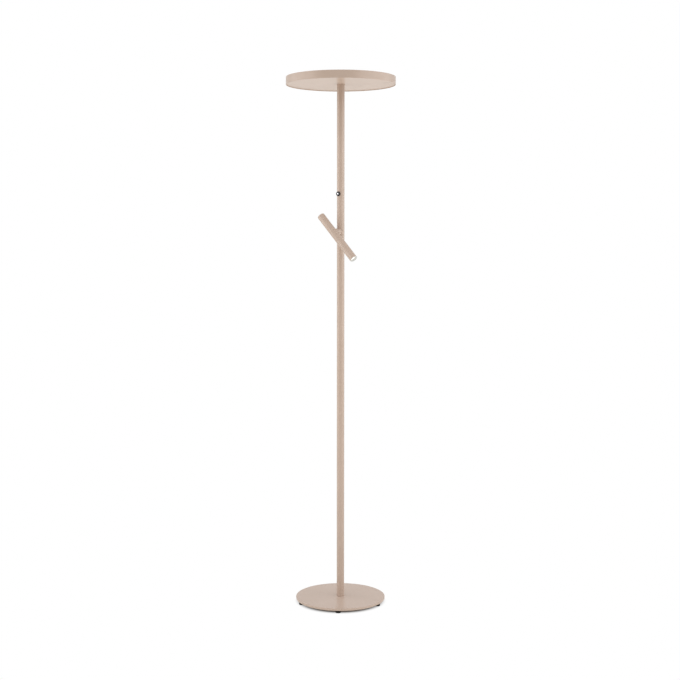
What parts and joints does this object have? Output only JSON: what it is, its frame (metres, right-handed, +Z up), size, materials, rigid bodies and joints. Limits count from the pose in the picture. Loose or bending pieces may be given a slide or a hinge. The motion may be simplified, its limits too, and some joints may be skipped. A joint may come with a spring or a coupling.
{
  "type": "floor lamp with reading light",
  "caption": "Floor lamp with a flat round uplight head on a slim pole, a weighted disc base, a push button and a tubular reading light that swivels on the pole.",
  "frame": {"origin": "on the floor under the pole's axis", "axes": "+Z up the pole, -Y to the front, where the button and the reading light are"},
  "size_m": [0.3599, 0.36, 1.75],
  "materials": {
    "paint_on_steel": "matt sand powder coat on steel",
    "paint_on_aluminium": "matt sand powder coat on aluminium",
    "black_rubber": "matt black rubber",
    "black_plastic": "fine-grained black plastic",
    "zinc_steel": "bright zinc plating",
    "bright_chrome": "polished chrome plating",
    "bare_aluminium": "plain turned aluminium",
    "white_plastic": "matt white moulded plastic",
    "opal_plastic": "satin opal plastic that passes light",
    "board_white": "white solder mask",
    "led_yellow": "phosphor over white board",
    "lead_sheath": "pale grey sheath"
  },
  "bodies": {
    "stand": {"base_plate": "paint_on_steel", "pole_lower": "paint_on_steel", "pole_upper": "paint_on_steel", "swivel_boss": "paint_on_steel", "head_rim": "paint_on_aluminium", "head_floor": "paint_on_aluminium", "base_feet": "black_rubber", "cord_bush": "black_plastic", "switch_bezel": "black_plastic", "switch_body": "black_plastic", "pole_joiner": "zinc_steel", "pole_bushes": "zinc_steel", "lamp_nipples": "zinc_steel", "lamp_nuts": "zinc_steel", "head_stiffener": "zinc_steel", "swivel_nut_plate": "zinc_steel", "cord_terminal": "white_plastic", "led_driver": "white_plastic", "diffuser_posts": "white_plastic", "head_diffuser": "opal_plastic", "led_boards": "board_white", "led_chips": "led_yellow", "pole_lead": "lead_sheath", "reading_lead": "lead_sheath"},
    "reading_light": {"swivel_collar": "paint_on_steel", "swivel_saddle": "zinc_steel", "reading_tube": "paint_on_aluminium", "reading_rear_cap": "paint_on_aluminium", "reading_heat_sink": "bare_aluminium", "reading_led": "led_yellow", "reading_lens": "opal_plastic"},
    "button": {"switch_button": "bright_chrome"}
  },
  "joints": [
    {"name": "reading_light_swivel", "type": "hinge", "parent": "stand", "child": "reading_light", "pos_m": [0, -0.039, 1.245], "axis": [0, -1, 0], "range_deg": [-205, 115]},
    {"name": "button_press", "type": "slide", "parent": "stand", "child": "button", "axis": [0, 1, 0], "range_m": [0, 0.0012], "stiffness_N_per_m": 800, "springref_m": -0.001}
  ]
}
